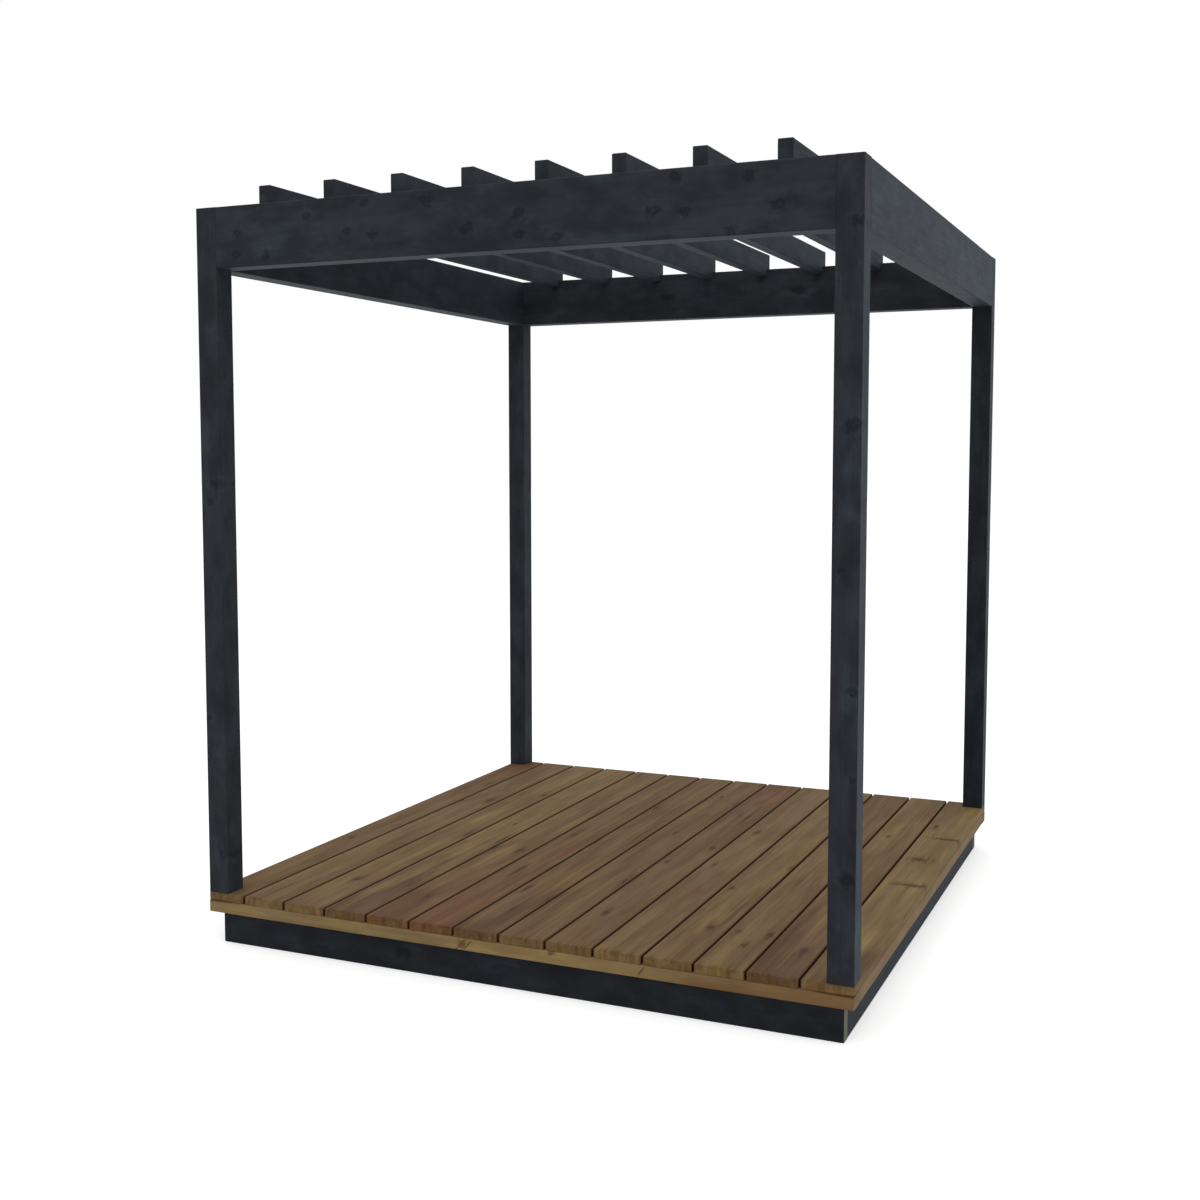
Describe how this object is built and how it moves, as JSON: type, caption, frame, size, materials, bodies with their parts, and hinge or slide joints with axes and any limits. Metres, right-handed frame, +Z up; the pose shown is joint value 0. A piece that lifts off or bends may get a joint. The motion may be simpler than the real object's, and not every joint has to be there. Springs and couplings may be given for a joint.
{
  "type": "open timber pergola with a low deck",
  "caption": "Open square garden pergola: dark stained posts, a ring of deep beams and housed rafters over a low timber deck on a set-in plinth.",
  "frame": {"origin": "on the ground, under the middle of the deck", "axes": "+Z up, the front faces -Y, +X to the right seen from the front; rafters and deck boards run along Y"},
  "size_m": [2.1, 2.18, 2.39],
  "materials": {
    "stained_frame": "charcoal stain",
    "deck_boards": "brown treated, planed",
    "deck_rim": "honey treated, planed",
    "stained_plinth": "charcoal stain",
    "raw_joists": "plain sawn"
  },
  "bodies": {
    "root": {"post_front_left": "stained_frame", "post_front_right": "stained_frame", "post_back_left": "stained_frame", "post_back_right": "stained_frame", "beam_front": "stained_frame", "beam_back": "stained_frame", "beam_left": "stained_frame", "beam_right": "stained_frame", "rafter_1": "stained_frame", "rafter_2": "stained_frame", "rafter_3": "stained_frame", "rafter_4": "stained_frame", "rafter_5": "stained_frame", "rafter_6": "stained_frame", "rafter_7": "stained_frame", "rafter_8": "stained_frame", "deck_board_1": "deck_boards", "deck_board_2": "deck_boards", "deck_board_3": "deck_boards", "deck_board_4": "deck_boards", "deck_board_5": "deck_boards", "deck_board_6": "deck_boards", "deck_board_7": "deck_boards", "deck_board_8": "deck_boards", "deck_board_9": "deck_boards", "deck_board_10": "deck_boards", "deck_board_11": "deck_boards", "deck_board_12": "deck_boards", "deck_board_13": "deck_boards", "deck_board_14": "deck_boards", "rim_front": "deck_rim", "rim_back": "deck_rim", "rim_left": "deck_rim", "rim_right": "deck_rim", "plinth_front": "stained_plinth", "plinth_back": "stained_plinth", "plinth_left": "stained_plinth", "plinth_right": "stained_plinth", "joist_1": "raw_joists", "joist_2": "raw_joists", "joist_3": "raw_joists"}
  },
  "joints": []
}
